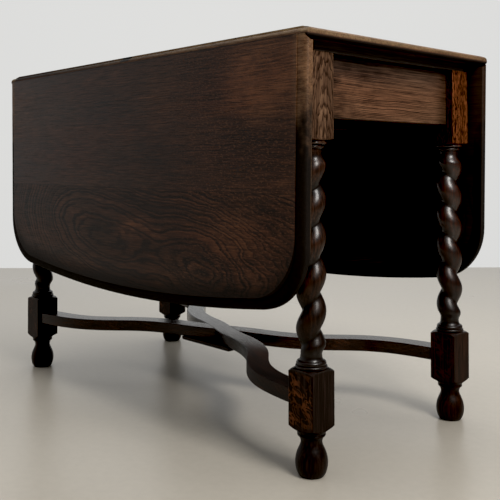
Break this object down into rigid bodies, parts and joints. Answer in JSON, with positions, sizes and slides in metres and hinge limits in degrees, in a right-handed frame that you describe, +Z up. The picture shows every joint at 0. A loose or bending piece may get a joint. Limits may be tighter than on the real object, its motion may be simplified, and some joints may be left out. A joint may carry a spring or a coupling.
{
  "type": "drop-leaf dining table",
  "caption": "Dark oak drop-leaf table with bowed moulded leaves on rule joints, a swivel top, barley-twist legs on turned feet and a serpentine crossed stretcher.",
  "frame": {"origin": "on the floor under the middle of the table", "axes": "+X along the leaves, +Y across them towards the back leaf, +Z up"},
  "size_m": [1.054, 0.555, 0.75],
  "materials": {
    "oak_board": "satin varnish over dark stain",
    "oak_turned": "gloss varnish over dark stain",
    "oak_rail": "satin varnish over dark stain",
    "oak_stretcher": "satin varnish over dark stain",
    "iron_hinge": "dark lacquered iron",
    "steel_screw": "darkened steel",
    "steel_bolt": "dull steel"
  },
  "bodies": {
    "frame": {"end_rail_left": "oak_rail", "end_rail_right": "oak_rail", "leg_back_left": "oak_turned", "leg_back_right": "oak_turned", "leg_front_left": "oak_turned", "leg_front_right": "oak_turned", "pivot_rail": "oak_rail", "pivot_thrust_washer": "steel_bolt", "side_rail_back": "oak_rail", "side_rail_front": "oak_rail", "stretcher_back_right_to_front_left": "oak_stretcher", "stretcher_front_right_to_back_left": "oak_stretcher", "stretcher_pad": "oak_stretcher", "stretcher_pad_screws": "steel_screw"},
    "top": {"bearer_screws": "steel_screw", "end_bearer_left": "oak_rail", "end_bearer_right": "oak_rail", "hinge_pin_back_left": "iron_hinge", "hinge_pin_back_middle": "iron_hinge", "hinge_pin_back_right": "iron_hinge", "hinge_pin_front_left": "iron_hinge", "hinge_pin_front_middle": "iron_hinge", "hinge_pin_front_right": "iron_hinge", "hinge_top_wing_back_left": "iron_hinge", "hinge_top_wing_back_middle": "iron_hinge", "hinge_top_wing_back_right": "iron_hinge", "hinge_top_wing_front_left": "iron_hinge", "hinge_top_wing_front_middle": "iron_hinge", "hinge_top_wing_front_right": "iron_hinge", "pivot_bearer": "oak_rail", "pivot_bolt": "steel_bolt", "pivot_lock_nut": "steel_bolt", "pivot_lower_washer": "steel_bolt", "pivot_nut": "steel_bolt", "side_bearer_back": "oak_rail", "side_bearer_front": "oak_rail", "table_top": "oak_board", "top_hinge_screws": "steel_screw"},
    "leaf_front": {"hinge_leaf_wing_front_left": "iron_hinge", "hinge_leaf_wing_front_middle": "iron_hinge", "hinge_leaf_wing_front_right": "iron_hinge", "leaf_front": "oak_board", "leaf_front_hinge_screws": "steel_screw"},
    "leaf_back": {"hinge_leaf_wing_back_left": "iron_hinge", "hinge_leaf_wing_back_middle": "iron_hinge", "hinge_leaf_wing_back_right": "iron_hinge", "leaf_back": "oak_board", "leaf_back_hinge_screws": "steel_screw"}
  },
  "joints": [
    {"name": "top_swivel", "type": "hinge", "parent": "frame", "child": "top", "pos_m": [0, 0, 0.7125], "axis": [0, 0, 1], "range_deg": [-2, 2]},
    {"name": "leaf_front_hinge", "type": "hinge", "parent": "top", "child": "leaf_front", "pos_m": [0, -0.2635, 0.736], "axis": [-1, 0, 0], "range_deg": [0, 90]},
    {"name": "leaf_back_hinge", "type": "hinge", "parent": "top", "child": "leaf_back", "pos_m": [0, 0.2635, 0.736], "axis": [1, 0, 0], "range_deg": [0, 90]}
  ]
}
